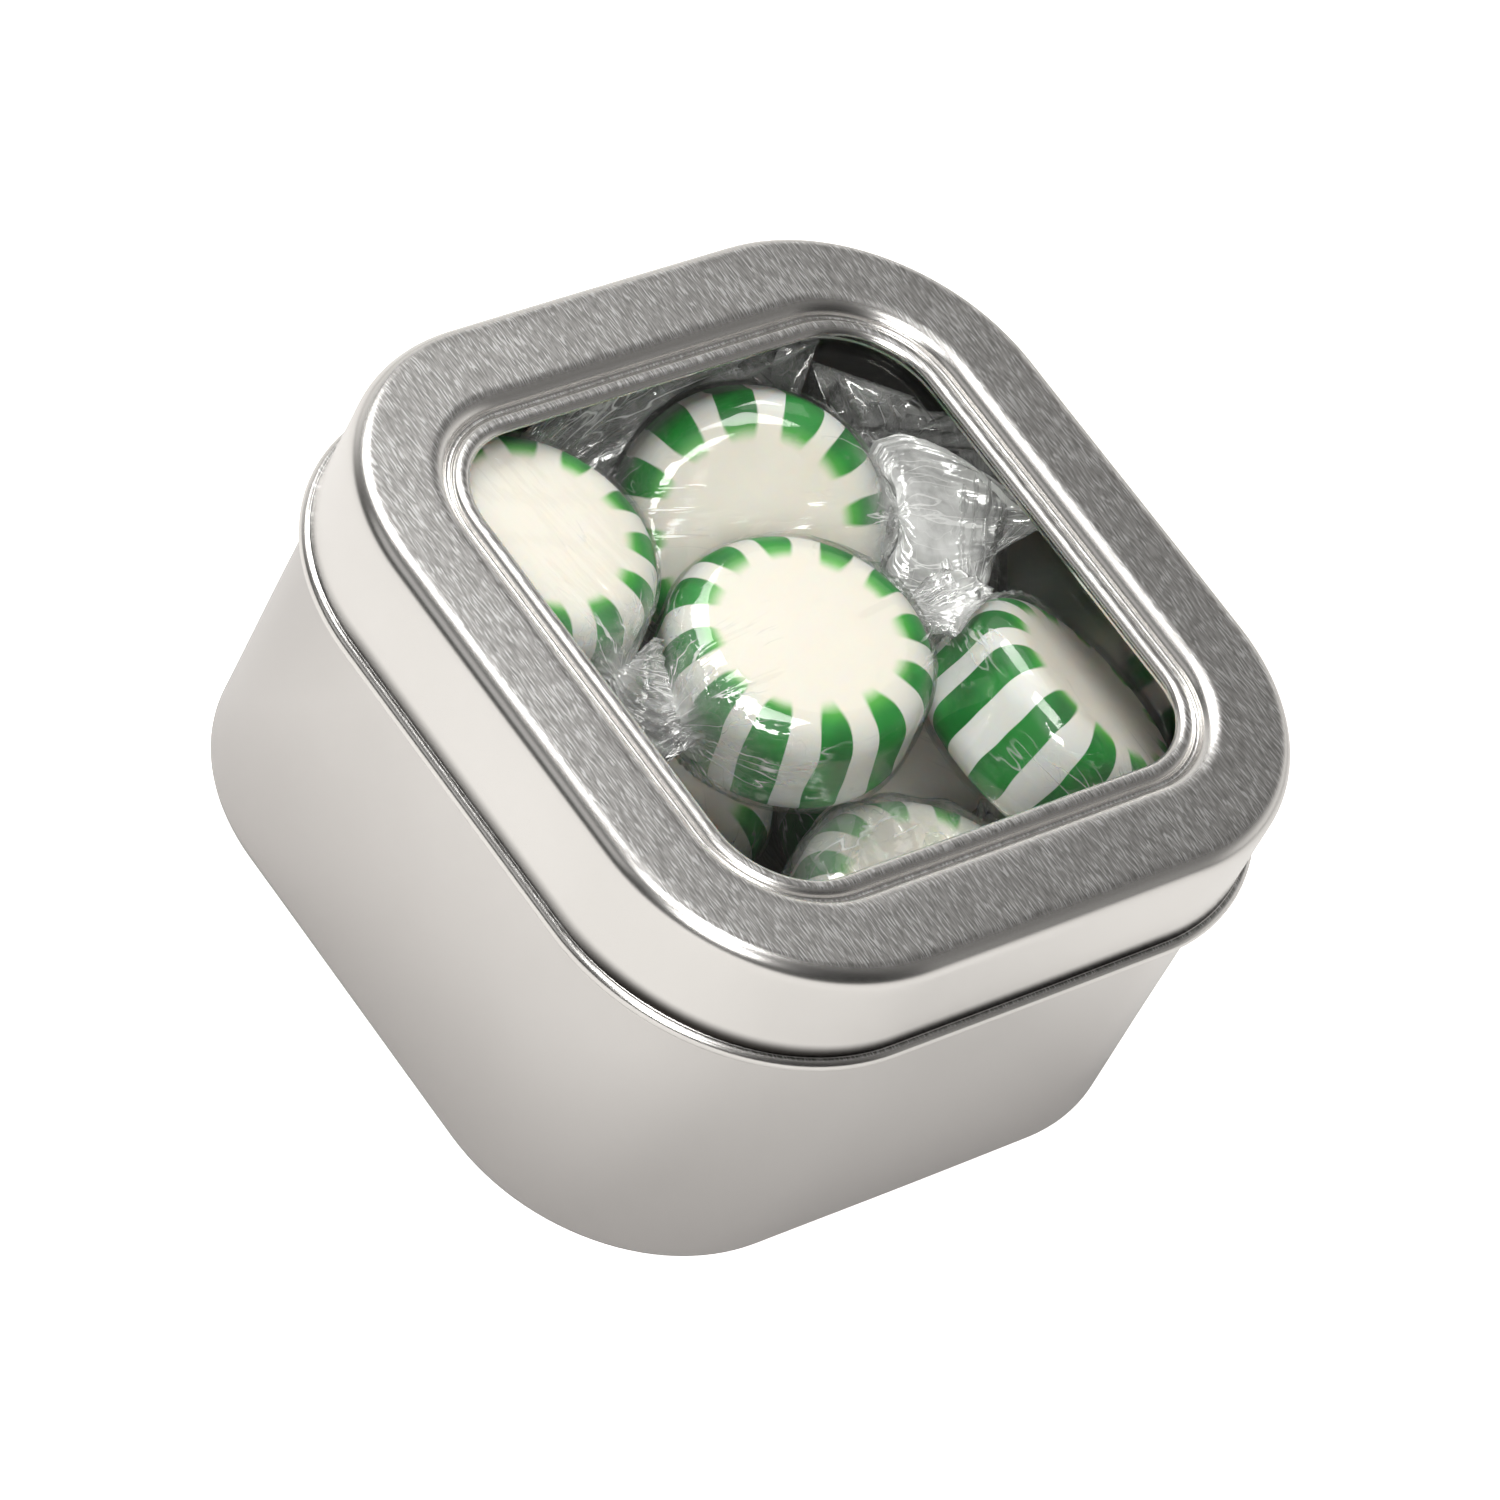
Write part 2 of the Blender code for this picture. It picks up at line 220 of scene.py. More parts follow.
# Candy colours, the slant of its stripes in turns for each millimetre along the profile, and the stretches of
# the profile, in millimetres from the middle of the side, over which its colours change
STRIPES = 12.0
STRIPE_SLANT = 0.0006
GREENS = ((0.002, 0.19, 0.022, 1), (0.006, 0.33, 0.035, 1))
LIGHT_GREEN = (0.13, 0.62, 0.06, 1)
WHITE_SIDE = (0.90, 0.92, 0.88, 1)
CREAM_FACE = (0.94, 0.885, 0.79, 1)
STRIPE_NARROWS = (6.5, 9.5)
STRIPE_SOFTENS = (5.0, 9.0)
STRIPE_ENDS = (8.3, 10.0)
GREEN_LIGHTENS = (6.2, 9.0)
CREAM_DEEPENS = (3.5, 8.0)

# Film: how much of it mirrors, at its rims, where it is crumpled and at least, how white its folds are,
# painted as glints of its creases, and how white its milky veil is
RIM_MIRROR = 0.22
CRUMPLE_MIRROR = 0.11
LEAST_MIRROR = 0.045
FOLD_GLINT_WHITE = 0.7
VEIL_WHITE = 0.74

# Soft lights: name, width and height, watts, and place in metres
PANELS = (
    ("overhead", (0.40, 0.40), 3.7, (0.08, -0.28, 0.90)),
    ("back", (0.45, 0.45), 4.1, (-0.60, 0.10, 0.80)),
    ("side", (0.20, 0.20), 0.09, (-0.15, 0.09, 0.34)),
    ("left", (0.60, 0.40), 0.36, (-0.45, -0.75, 0.55)),
    ("key", (0.30, 0.30), 3.9, (0.42, -0.60, 0.58)),
)
FLOOR_HALF = 6.0
FLOOR_DROP = 0.00005


# Node building

def feed(tree, socket, value):
    """Sets a socket to a number or colour, or links it to another socket."""
    if isinstance(value, bpy.types.NodeSocket):
        tree.links.new(value, socket)
    elif value is not None:
        socket.default_value = value


def add_node(tree, kind, settings, **inputs):
    """A shader node with its settings and its inputs, named with _ for a space."""
    made = tree.nodes.new("ShaderNode" + kind)
    for name, value in settings.items():
        setattr(made, name, value)
    for name, value in inputs.items():
        feed(tree, made.inputs[name.replace("_", " ")], value)
    return made


def maths(tree, operation, first, second=None):
    """One sum of a Math node."""
    made = add_node(tree, "Math", {"operation": operation})
    for socket, value in zip(made.inputs, (first, second)):
        feed(tree, socket, value)
    return made.outputs[0]


def times(tree, first, second):
    return maths(tree, "MULTIPLY", first, second)


def plus(tree, first, second):
    return maths(tree, "ADD", first, second)


def noise(tree, vector, scale, detail=3.0, roughness=0.5, distortion=0.0):
    made = add_node(
        tree, "TexNoise", {}, Vector=vector, Scale=scale, Detail=detail,
        Roughness=roughness, Distortion=distortion,
    )
    return made.outputs[0]


def smooth_range(tree, value, low, high, out_low=0.0, out_high=1.0):
    """Takes low to high on to the two outputs along a smooth step, and keeps to them beyond."""
    made = add_node(
        tree, "MapRange", {"interpolation_type": "SMOOTHSTEP"},
        Value=value, From_Min=low, From_Max=high, To_Min=out_low, To_Max=out_high,
    )
    return made.outputs[0]


def blend_colours(tree, share, first, second):
    made = tree.nodes.new("ShaderNodeMix")
    made.data_type = "RGBA"
    feed(tree, made.inputs[0], share)
    feed(tree, made.inputs[6], first)
    feed(tree, made.inputs[7], second)
    return made.outputs[2]


def new_group(name, inputs, outputs):
    """A shader node group with float, vector or colour sockets; returns its tree, inputs and outputs."""
    tree = bpy.data.node_groups.new(name, "ShaderNodeTree")
    for label, kind, default in inputs:
        socket = tree.interface.new_socket(label, in_out="INPUT", socket_type="NodeSocket" + kind)
        socket.default_value = default
    for label, kind in outputs:
        tree.interface.new_socket(label, in_out="OUTPUT", socket_type="NodeSocket" + kind)
    return tree, tree.nodes.new("NodeGroupInput"), tree.nodes.new("NodeGroupOutput")


def use_group(tree, group, **inputs):
    made = tree.nodes.new("ShaderNodeGroup")
    made.node_tree = group
    for name, value in inputs.items():
        feed(tree, made.inputs[name], value)
    return made


def new_material(name):
    made = bpy.data.materials.new(name)
    made.use_nodes = True
    return made, made.node_tree, made.node_tree.nodes["Principled BSDF"]


def object_place(tree):
    return tree.nodes.new("ShaderNodeTexCoord").outputs["Object"]


def turn_and_along(tree):
    """The piece's own map: the turn round its axis from 0 to 1, and the distance along it in millimetres."""
    uv = tree.nodes.new("ShaderNodeUVMap")
    uv.uv_map = "around"
    split = add_node(tree, "SeparateXYZ", {}, Vector=uv.outputs[0])
    return split.outputs["X"], split.outputs["Y"]


# Finishes

def grain_group():
    """Rolled grain of sheet metal: noise stretched along the rolling direction gives fine lines, and its
    highest parts, broken up by a slower noise, are the short bright streaks that carry painted glints."""
    tree, given, result = new_group(
        "rolled_grain",
        [("Stretch", "Vector", (1, 1, 1)), ("Streaks", "Float", 1.0)],
        [("Grain", "Float"), ("Streak", "Float")],
    )
    where = object_place(tree)
    fine = add_node(tree, "Mapping", {}, Vector=where, Scale=given.outputs["Stretch"]).outputs[0]
    grain = noise(tree, fine, 1.0, 2.0, 0.55)
    lines = noise(tree, fine, 1.15, 0.0)
    patches = noise(tree, where, 260.0, 2.0, 0.5)
    streak = smooth_range(tree, plus(tree, lines, times(tree, patches, 0.25)), 0.70, 0.80)
    feed(tree, result.inputs["Grain"], grain)
    feed(tree, result.inputs["Streak"], times(tree, streak, given.outputs["Streaks"]))
    return tree


def tinplate(name, grain, level_tones, wall_tones, streaks, crease=None, foot=None):
    """Bare tinplate: rolled grain along X on level faces, its bright streaks carrying painted glints, smooth,
    slightly clouded walls, and painted shade in the crease over the bead, where the sheet flares out. The
    painted shade deepens from the first of the crease's three heights to the second, is widest on the +X side,
    and ends on the bead at the third. Below the foot's height the walls darken slowly with painted shade, as
    they do round the corner on the -X side."""
    made, tree, shader = new_material(name)
    coordinate = tree.nodes.new("ShaderNodeTexCoord")
    facing = add_node(tree, "SeparateXYZ", {}, Vector=coordinate.outputs["Normal"])
    here = add_node(tree, "SeparateXYZ", {}, Vector=coordinate.outputs["Object"])
    height = here.outputs["Z"]
    level = smooth_range(tree, maths(tree, "ABSOLUTE", facing.outputs["Z"]), 0.86, 0.99)
    top = use_group(tree, grain, Stretch=(700, 5600, 2500), Streaks=streaks)
    top_shade = blend_colours(tree, smooth_range(tree, top.outputs["Grain"], 0.30, 0.70), *level_tones)
    cloud = noise(tree, coordinate.outputs["Object"], 45.0, 3.0, 0.5)
    wall_shade = blend_colours(tree, smooth_range(tree, cloud, 0.3, 0.7), *wall_tones)
    # Painted shade: the walls darken towards the foot and round the -X corner.
    if foot is not None:
        low = smooth_range(tree, height, foot, -foot / 3)
        corner = smooth_range(tree, here.outputs["X"], -foot / 5, -foot, 0.0, 0.7)
        wall_shade = blend_colours(tree, maths(tree, "MAXIMUM", low, corner), wall_shade, FOOT_SHADE_TONE)
    shade = blend_colours(tree, level, wall_shade, top_shade)
    # Painted shade: the crease above the bead darkens to a near black, widest on the +X side.
    if crease is not None:
        start, darkest, end = crease
        wide = smooth_range(tree, facing.outputs["X"], -0.4, 0.5, 0.55, 1.0)
        near = times(tree, smooth_range(tree, height, start, darkest), wide)
        above_bead = smooth_range(tree, height, end, darkest)
        crease_shade_mask = times(tree, smooth_range(tree, near, 0.2, 1.0), above_bead)
        shade = blend_colours(tree, crease_shade_mask, shade, CREASE_SHADE_TONE)
    # Painted highlight: white reflectance in the grain's streaks stands in for glints of its facets.
    streak = times(tree, level, top.outputs["Streak"])
    feed(tree, shader.inputs["Base Color"], blend_colours(tree, streak, shade, GLINT_STREAK_TONE))
    feed(tree, shader.inputs["Roughness"], smooth_range(tree, level, 0.0, 1.0, 0.26, 0.28))
    lines = times(tree, top.outputs["Grain"], level)
    bump = add_node(tree, "Bump", {}, Strength=0.3, Distance=0.00003, Height=lines)
    feed(tree, shader.inputs["Normal"], bump.outputs[0])
    shader.inputs["Metallic"].default_value = 1.0
    return made


def hard_candy():
    """Cream candy with twelve slanting green stripes: the stripe coordinate is the turn round the mint plus a
    slant along the profile and a slow wobble. The stripes narrow, soften, lighten and end where they run over
    the shoulder on to the face."""
    made, tree, shader = new_material("hard_candy")
    turn, along = turn_and_along(tree)
    where = object_place(tree)
    wobble = noise(tree, where, 75.0, 2.0, 0.5)
    stripes = times(tree, plus(tree, turn, times(tree, along, STRIPE_SLANT)), STRIPES)
    phase = maths(tree, "FRACT", plus(tree, stripes, times(tree, wobble, 0.5)))
    from_middle = maths(tree, "ABSOLUTE", maths(tree, "SUBTRACT", phase, 0.5))
    face = maths(tree, "ABSOLUTE", along)
    broad = smooth_range(tree, noise(tree, where, 110.0, 0.0), 0.3, 0.7, 0.205, 0.275)
    half_width = maths(tree, "SUBTRACT", broad, smooth_range(tree, face, *STRIPE_NARROWS, -0.03, 0.05))
    softness = smooth_range(tree, face, *STRIPE_SOFTENS, 0.018, 0.13)
    inside = maths(tree, "DIVIDE", maths(tree, "SUBTRACT", half_width, from_middle), softness)
    reach = plus(tree, face, times(tree, noise(tree, where, 190.0, 1.0), 1.8))
    ending = smooth_range(tree, reach, *STRIPE_ENDS, 1.0, 0.0)
    mask = times(tree, smooth_range(tree, inside, -0.5, 0.5), ending)
    deep = blend_colours(tree, smooth_range(tree, noise(tree, where, 240.0, 2.0), 0.3, 0.7), *GREENS)
    green = blend_colours(tree, smooth_range(tree, face, *GREEN_LIGHTENS), deep, LIGHT_GREEN)
    cream = blend_colours(tree, smooth_range(tree, face, *CREAM_DEEPENS), WHITE_SIDE, CREAM_FACE)
    feed(tree, shader.inputs["Base Color"], blend_colours(tree, mask, cream, green))
    shader.inputs["Roughness"].default_value = 0.4
    shader.inputs["Subsurface Weight"].default_value = 0.8
    shader.inputs["Subsurface Radius"].default_value = (1.0, 0.8, 0.6)
    shader.inputs["Subsurface Scale"].default_value = 0.004
    return made


def film_group():
    """Folds of cellophane: thin lines where a noise crosses its middle value, one noise stretched along the
    film's pleats and one not, and milky patches where the film lies double."""
    tree, given, result = new_group(
        "film_folds",
        [("Crumple", "Float", 1.0), ("Milk", "Float", 1.0)],
        [("Fold", "Float"), ("Veil", "Float"), ("Height", "Float")],
    )
    crumple, milk = given.outputs["Crumple"], given.outputs["Milk"]
    where = object_place(tree)
    turn, distance = turn_and_along(tree)
    angle = times(tree, turn, 2 * math.pi)
    ring = add_node(
        tree, "CombineXYZ", {}, X=times(tree, maths(tree, "COSINE", angle), 3.0),
        Y=times(tree, maths(tree, "SINE", angle), 3.0), Z=times(tree, distance, 0.07),
    )
    along = noise(tree, ring.outputs[0], 1.0, 3.0, 0.5, 0.15)
    cross = noise(tree, where, 260.0, 2.0, 0.5, 1.0)
    lines = []
    for value, half_line in ((along, 0.015), (cross, 0.007)):
        away = maths(tree, "ABSOLUTE", maths(tree, "SUBTRACT", value, 0.5))
        lines.append(smooth_range(tree, away, 0.0, half_line, 1.0, 0.0))
    patch = plus(tree, noise(tree, where, 170.0, 1.0), times(tree, crumple, 0.22))
    folded_here = smooth_range(tree, patch, 0.55, 0.72)
    cross_line = times(tree, lines[1], times(tree, crumple, 0.35))
    fold = times(tree, maths(tree, "MAXIMUM", lines[0], cross_line), folded_here)
    feed(tree, result.inputs["Fold"], times(tree, fold, crumple))
    veil = smooth_range(tree, noise(tree, where, 150.0, 4.0, 0.6, 0.5), 0.22, 0.66)
    feed(tree, result.inputs["Veil"], times(tree, veil, milk))
    rough = plus(tree, along, times(tree, cross, crumple))
    feed(tree, result.inputs["Height"], times(tree, rough, plus(tree, crumple, 0.12)))
    return tree


def film(name, folds):
    """Clear film: a thin mirror's glints over what lies behind, white lines on its folds that are painted
    glints of its creases, and a milky veil where it lies crumpled, as the piece's crumple and milk attributes
    say."""
    made, tree, shader = new_material(name)
    crumple, milk = [
        add_node(tree, "Attribute", {"attribute_name": label}).outputs["Fac"]
        for label in ("crumple", "milk")
    ]
    group = use_group(tree, folds, Crumple=crumple, Milk=milk)
    rim = add_node(tree, "LayerWeight", {}, Blend=0.25).outputs["Fresnel"]
    mirror = plus(tree, times(tree, rim, RIM_MIRROR), times(tree, crumple, CRUMPLE_MIRROR))
    mirror = plus(tree, mirror, LEAST_MIRROR)
    # Painted highlight: white lines on the folds stand in for glints of the creases.
    fold_glints = times(tree, group.outputs["Fold"], FOLD_GLINT_WHITE)
    white = plus(tree, fold_glints, times(tree, group.outputs["Veil"], VEIL_WHITE))
    total = plus(tree, mirror, white)
    feed(tree, shader.inputs["Alpha"], maths(tree, "MINIMUM", total, 0.95))
    feed(tree, shader.inputs["Metallic"], maths(tree, "DIVIDE", mirror, total))
    shader.inputs["Base Color"].default_value = (0.97, 0.98, 0.97, 1)
    shader.inputs["Roughness"].default_value = 0.08
    bump = add_node(tree, "Bump", {}, Strength=0.7, Distance=0.00035, Height=group.outputs["Height"])
    feed(tree, shader.inputs["Normal"], bump.outputs[0])
    return made


def clear_plastic():
    """The flat pane: nearly all see-through, with a faint even mirror."""
    made, tree, shader = new_material("clear_plastic")
    rim = add_node(tree, "LayerWeight", {}, Blend=0.2).outputs["Fresnel"]
    feed(tree, shader.inputs["Alpha"], plus(tree, 0.010, times(tree, rim, 0.35)))
    shader.inputs["Base Color"].default_value = (0.95, 0.97, 0.94, 1)
    shader.inputs["Metallic"].default_value = 1.0
    shader.inputs["Roughness"].default_value = 0.06
    return made


# Surfaces on grids

def grid_piece(name, points, paint, body, replaced, section_closed=False, poles=False, uv=None,
               marks=None):
    """A closed surface through a grid of rows and columns, whose columns run round. The rows close on each
    other too, or end in poles, or in rings folded flat whose facing points are joined."""
    rows, columns = points.shape[:2]
    index = np.arange(rows * columns).reshape(rows, columns)
    if poles:
        index[0] = index[0, 0]
        index[-1] = index[-1, 0]
    lower = index if section_closed else index[:-1]
    upper = np.roll(index, -1, axis=0) if section_closed else index[1:]
    quads = np.stack([lower, np.roll(lower, -1, 1), np.roll(upper, -1, 1), upper], -1).reshape(-1, 4)
    corner_uv = None
    if uv is not None:
        last = np.concatenate([uv[:, 1:], uv[:, :1] + [1.0, 0.0]], axis=1)
        corner_uv = np.stack([uv[:-1], last[:-1], last[1:], uv[1:]], -2).reshape(-1, 4, 2)
    if not section_closed and not poles:
        half = columns // 2
        left = np.arange(0, half)
        right = (columns - left) % columns
        ends = []
        for row, flip in ((index[0], True), (index[-1], False)):
            cap = np.stack([row[left], row[left + 1], row[(columns - left - 1) % columns], row[right]], -1)
            ends.append(cap[:, ::-1] if flip else cap)
            if uv is not None:
                corner_uv = np.concatenate([corner_uv, np.zeros((half, 4, 2))])
        quads = np.concatenate([quads] + ends)
    flat = points.reshape(-1, 3)
    corner = flat[quads]
    volume = np.einsum("ij,ij->", corner[:, 0], np.cross(corner[:, 1], corner[:, 2]))
    volume += np.einsum("ij,ij->", corner[:, 0], np.cross(corner[:, 2], corner[:, 3]))
    if volume < 0:
        quads = quads[:, ::-1]
        corner_uv = None if corner_uv is None else corner_uv[:, ::-1]
    keep = quads != np.roll(quads, -1, axis=1)
    sizes = keep.sum(1)
    used, packed = np.unique(quads[keep], return_inverse=True)
    mesh = bpy.data.meshes.new(name)
    mesh.vertices.add(len(used))
    mesh.vertices.foreach_set("co", (flat[used] * MM).astype(np.float32).ravel())
    mesh.loops.add(len(packed))
    mesh.loops.foreach_set("vertex_index", packed.astype(np.int32).ravel())
    mesh.polygons.add(len(quads))
    mesh.polygons.foreach_set("loop_start", (np.cumsum(sizes) - sizes).astype(np.int32))
    if corner_uv is not None:
        layer = mesh.uv_layers.new(name="around")
        layer.data.foreach_set("uv", corner_uv[keep].astype(np.float32).ravel())
    for label, values in (marks or {}).items():
        layer = mesh.attributes.new(label, "FLOAT", "POINT")
        layer.data.foreach_set("value", values.reshape(-1)[used].astype(np.float32))
    mesh.update(calc_edges=True)
    mesh.validate()
    mesh.shade_smooth()
    mesh.materials.append(paint)
    obj = bpy.data.objects.new(name, mesh)
    bpy.context.scene.collection.objects.link(obj)
    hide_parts(*replaced)
    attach(obj, body)
    return obj


def arc(centre, radius, start, end, steps, tall=None):
    """Points (out, height) along a round or oval arc, from start to end in degrees."""
    turn = np.radians(np.linspace(start, end, steps + 1))
    tall = radius if tall is None else tall
    return np.stack([centre[0] + radius * np.cos(turn), centre[1] + tall * np.sin(turn)], -1)


def straight(first, last, steps):
    """Even points between two ends, both left out."""
    share = np.linspace(0, 1, steps + 1)[1:-1, None]
    return np.array(first) + (np.array(last) - np.array(first)) * share


def folded(path, side):
    """A sheet's closed section: the path, then back along its other face, a sheet's thickness to its side."""
    before = np.diff(path, axis=0, prepend=2 * path[:1] - path[1:2])
    after = np.diff(path, axis=0, append=2 * path[-1:] - path[-2:-1])
    first = before / np.linalg.norm(before, axis=1)[:, None]
    second = after / np.linalg.norm(after, axis=1)[:, None]
    both = first + second
    normal = np.stack([-both[:, 1], both[:, 0]], -1)
    normal /= np.linalg.norm(normal, axis=1)[:, None]
    stretch = 1 / np.maximum((normal * np.stack([-first[:, 1], first[:, 0]], -1)).sum(1), 0.5)
    inner = path + normal * (side * SHEET * stretch)[:, None]
    return np.concatenate([path, inner[::-1]])


def rounded_rings(section, corner):
    """A ring for each (out, height): quarter circles of the corner radius about centres at the half side less
    the radius, joined by straight sides in even steps."""
    out, height = section[:, 0], section[:, 1]
    turn = (np.arange(4)[:, None] + np.linspace(0, 1, CORNER_STEPS + 1)) * math.pi / 2
    aim = (np.arange(4) + 0.5) * math.pi / 2
    sign = np.stack([np.sign(np.cos(aim)), np.sign(np.sin(aim))], -1)
    centre = (out - corner)[:, None, None] * sign
    round_part = np.stack([np.cos(turn), np.sin(turn)], -1)
    arcs = centre[:, :, None, :] + corner[:, None, None, None] * round_part
    share = np.linspace(0, 1, SIDE_STEPS + 1)[1:-1, None]
    start, end = arcs[:, :, -1:], np.roll(arcs, -1, axis=1)[:, :, :1]
    ring = np.concatenate([arcs, start + (end - start) * share], axis=2).reshape(len(out), -1, 2)
    return np.dstack([ring, np.repeat(height[:, None], ring.shape[1], axis=1)])


def waviness(points, size, reach):
    """Slow dents of thin sheet: a sum of three sines, of x, y and z with one bent by another, added along the
    direction out from the middle up to about three times size, and a product of sines of x and y added to
    the height up to reach."""
    x, y, z = points[..., 0], points[..., 1], points[..., 2]
    wave = np.sin(x / 6.1 + 0.7 * np.sin(z / 5.0))
    wave = wave + np.sin(y / 7.3 + 1.3 + 0.5 * np.sin(x / 4.1)) + np.sin(z / 4.7 + y / 11)
    flat = np.maximum(np.hypot(x, y), 1e-6)
    moved = points.copy()
    moved[..., 0] += x / flat * wave * size
    moved[..., 1] += y / flat * wave * size
    moved[..., 2] += np.sin(x / 5.3) * np.sin(y / 6.7 + 0.4) * reach
    return moved


def lid_corner(out):
    """Corner radius at a half side: in even steps from the window's to the lid's."""
    share = (LID_HALF - out) / (LID_HALF - WINDOW_HALF)
    return LID_CORNER - share * (LID_CORNER - WINDOW_CORNER)


def body_corner(out):
    """Corner radius at a half side: parallel to the wall, and near the middle half of the half side."""
    return np.maximum(BODY_CORNER - (BODY_HALF - out), out * 0.5)


def build_tin(paint):
    """The body: floor, rounded floor edge, wall and the rim curled inwards, as one folded sheet."""
    edge = (BODY_HALF - FLOOR_EDGE, FLOOR_EDGE)
    curl = (BODY_HALF - CURL_RADIUS, BODY_HEIGHT - CURL_RADIUS)
    path = np.concatenate([
        straight((0, 0), (edge[0], 0), FLOOR_STEPS),
        arc(edge, FLOOR_EDGE, -90, 0, FLOOR_EDGE_STEPS),
        straight((BODY_HALF, FLOOR_EDGE), (BODY_HALF, curl[1]), WALL_STEPS),
        arc(curl, CURL_RADIUS, 0, 230, CURL_STEPS),
    ])
    section = np.concatenate([[(0, 0)], folded(path, 1), [(0, SHEET)]])
    section = np.maximum(section, 0)
    rings = rounded_rings(section, body_corner(section[:, 0]))
    grid_piece("body_sheet", waviness(rings, 0.03, 0.0), paint, "tin", ["tin_body"], poles=True)


def build_lid(paint):
    """The lid's shell as one folded sheet: over the window's hem, through the groove, up the shoulder, over
    the panel, down the skirt, which flares out with the cube of the way down, and round the rolled bead."""
    groove = TIN_HEIGHT - GROOVE_DEPTH
    shoulder = WINDOW_HALF + HEM_WIDTH + GROOVE_WIDTH + SHOULDER_WIDTH
    edge = LID_HALF - LID_EDGE
    bead = (LID_HALF + BEAD_REACH - BEAD_RADIUS, BEAD_Z)
    share = np.linspace(0, 1, FLARE_POINTS)
    low = BEAD_RADIUS * 1.1
    flare_height = BEAD_Z + FLARE_RISE + (low - FLARE_RISE) * share
    flare = np.stack([LID_HALF + FLARE_REACH * share**3, flare_height], -1)
    path = np.concatenate([
        arc((WINDOW_HALF + HEM_WIDTH / 2, groove), HEM_WIDTH / 2, 176, 6, HEM_STEPS, HEM_RISE),
        [(WINDOW_HALF + HEM_WIDTH + GROOVE_WIDTH / 2, groove)],
        arc((shoulder, groove), SHOULDER_WIDTH, 176, 90, SHOULDER_STEPS, GROOVE_DEPTH),
        straight((shoulder, TIN_HEIGHT), (edge, TIN_HEIGHT), PANEL_STEPS),
        arc((edge, TIN_HEIGHT - LID_EDGE), LID_EDGE, 90, 0, EDGE_STEPS),
        straight((LID_HALF, TIN_HEIGHT - LID_EDGE), flare[0], PANEL_STEPS),
        flare,
        arc(bead, BEAD_RADIUS, 105, -130, BEAD_STEPS),
    ])
    section = folded(path, -1)
    rings = rounded_rings(section, lid_corner(section[:, 0]))
    grid_piece("lid_sheet", waviness(rings, 0.02, 0.02), paint, "lid", ["lid_shell"],
               section_closed=True)


def build_pane(paint):
    """The clear pane: a flat plate with the lid's corners."""
    pane = np.array([
        (0, PANE_UNDERSIDE), (PANE_HALF * 0.5, PANE_UNDERSIDE), (PANE_HALF, PANE_UNDERSIDE),
        (PANE_HALF, PANE_TOP), (PANE_HALF * 0.5, PANE_TOP), (0, PANE_TOP),
    ])
    corner = np.maximum(lid_corner(pane[:, 0]), pane[:, 0] * 0.5)
    rings = rounded_rings(pane, np.minimum(corner, pane[:, 0]))
    piece = grid_piece("pane_sheet", rings, paint, "lid", ["window_pane"], poles=True)
    piece.data.set_sharp_from_angle(angle=SHARP_ANGLE)


def build_pane_frame(paint):
    """The pane's frame: a ledge under the pane, a wall round it and a flange under the panel."""
    top = PANEL_UNDERSIDE - TOUCH_GAP - SHEET
    hat = np.array([
        (FRAME_WALL_HALF - FRAME_LEDGE, FRAME_UNDERSIDE), (FRAME_WALL_HALF, FRAME_UNDERSIDE),
        (FRAME_WALL_HALF, top), (FRAME_WALL_HALF + FRAME_FLANGE, top),
    ])
    section = folded(hat, 1)
    rings = rounded_rings(section, lid_corner(section[:, 0]))
    piece = grid_piece("frame_sheet", rings, paint, "lid", ["pane_frame"], section_closed=True)
    piece.data.set_sharp_from_angle(angle=SHARP_ANGLE)


# Mints and wrappers

def smooth(value, low, high):
    """A smooth step from 0 at low to 1 at high: three times the square of the share less twice its cube."""
    share = np.clip((value - low) / (high - low), 0, 1)
    return share * share * (3 - 2 * share)


def unit(vector):
    """The vector at length one."""
    return np.array(vector, float) / np.linalg.norm(vector)


def spin(axis, degrees):
    return np.array(Matrix.Rotation(math.radians(degrees), 3, axis))


def half_height(lean):
    """Height of a leaning wrapped mint's middle above its lowest point: the rounded edge, and its ring's
    reach down on the slope."""
    turn = math.radians(lean)
    across = (WRAPPED_RADIUS - WRAPPED_EDGE) * math.sin(turn)
    return across + (WRAPPED_THICKNESS / 2 - WRAPPED_EDGE) * math.cos(turn) + WRAPPED_EDGE


def heap_places():
    """Each mint's middle and turn, by the same shares and formulas as in the part's source."""
    places = {}
    room = HEAP_TOP - HEAP_FLOOR
    for name, mint in HEAP.items():
        half = half_height(mint.lean)
        middle = room - half if mint.layer is None else mint.layer * LAYER_PITCH + half
        place = np.array([mint.x * MINT_REACH, mint.y * MINT_REACH, HEAP_FLOOR + middle])
        places[name] = (place, spin("Z", mint.side) @ spin("Y", mint.lean) @ spin("Z", mint.twist))
    return places


def disc_distance(points, grow):
    """Distance outside a mint, a disc with rounded edges grown by this much, and the way out from it."""
    flat = np.hypot(points[..., 0], points[..., 1])
    over = np.abs(points[..., 2]) - (MINT_THICKNESS / 2 - MINT_EDGE)
    out = np.stack([flat - (MINT_RADIUS - MINT_EDGE), over], -1)
    positive = np.maximum(out, 0)
    reach = np.linalg.norm(positive, axis=-1)
    distance = reach + np.minimum(out.max(-1), 0) - MINT_EDGE - grow
    inner = np.where((out[..., :1] > out[..., 1:]), [1.0, 0.0], [0.0, 1.0])
    aim = np.where(reach[..., None] > 1e-6, positive / np.maximum(reach, 1e-6)[..., None], inner)
    safe = np.maximum(flat, 1e-6)
    away = np.stack([
        points[..., 0] / safe * aim[..., 0], points[..., 1] / safe * aim[..., 0],
        np.sign(points[..., 2]) * aim[..., 1],
    ], -1)
    return distance, away


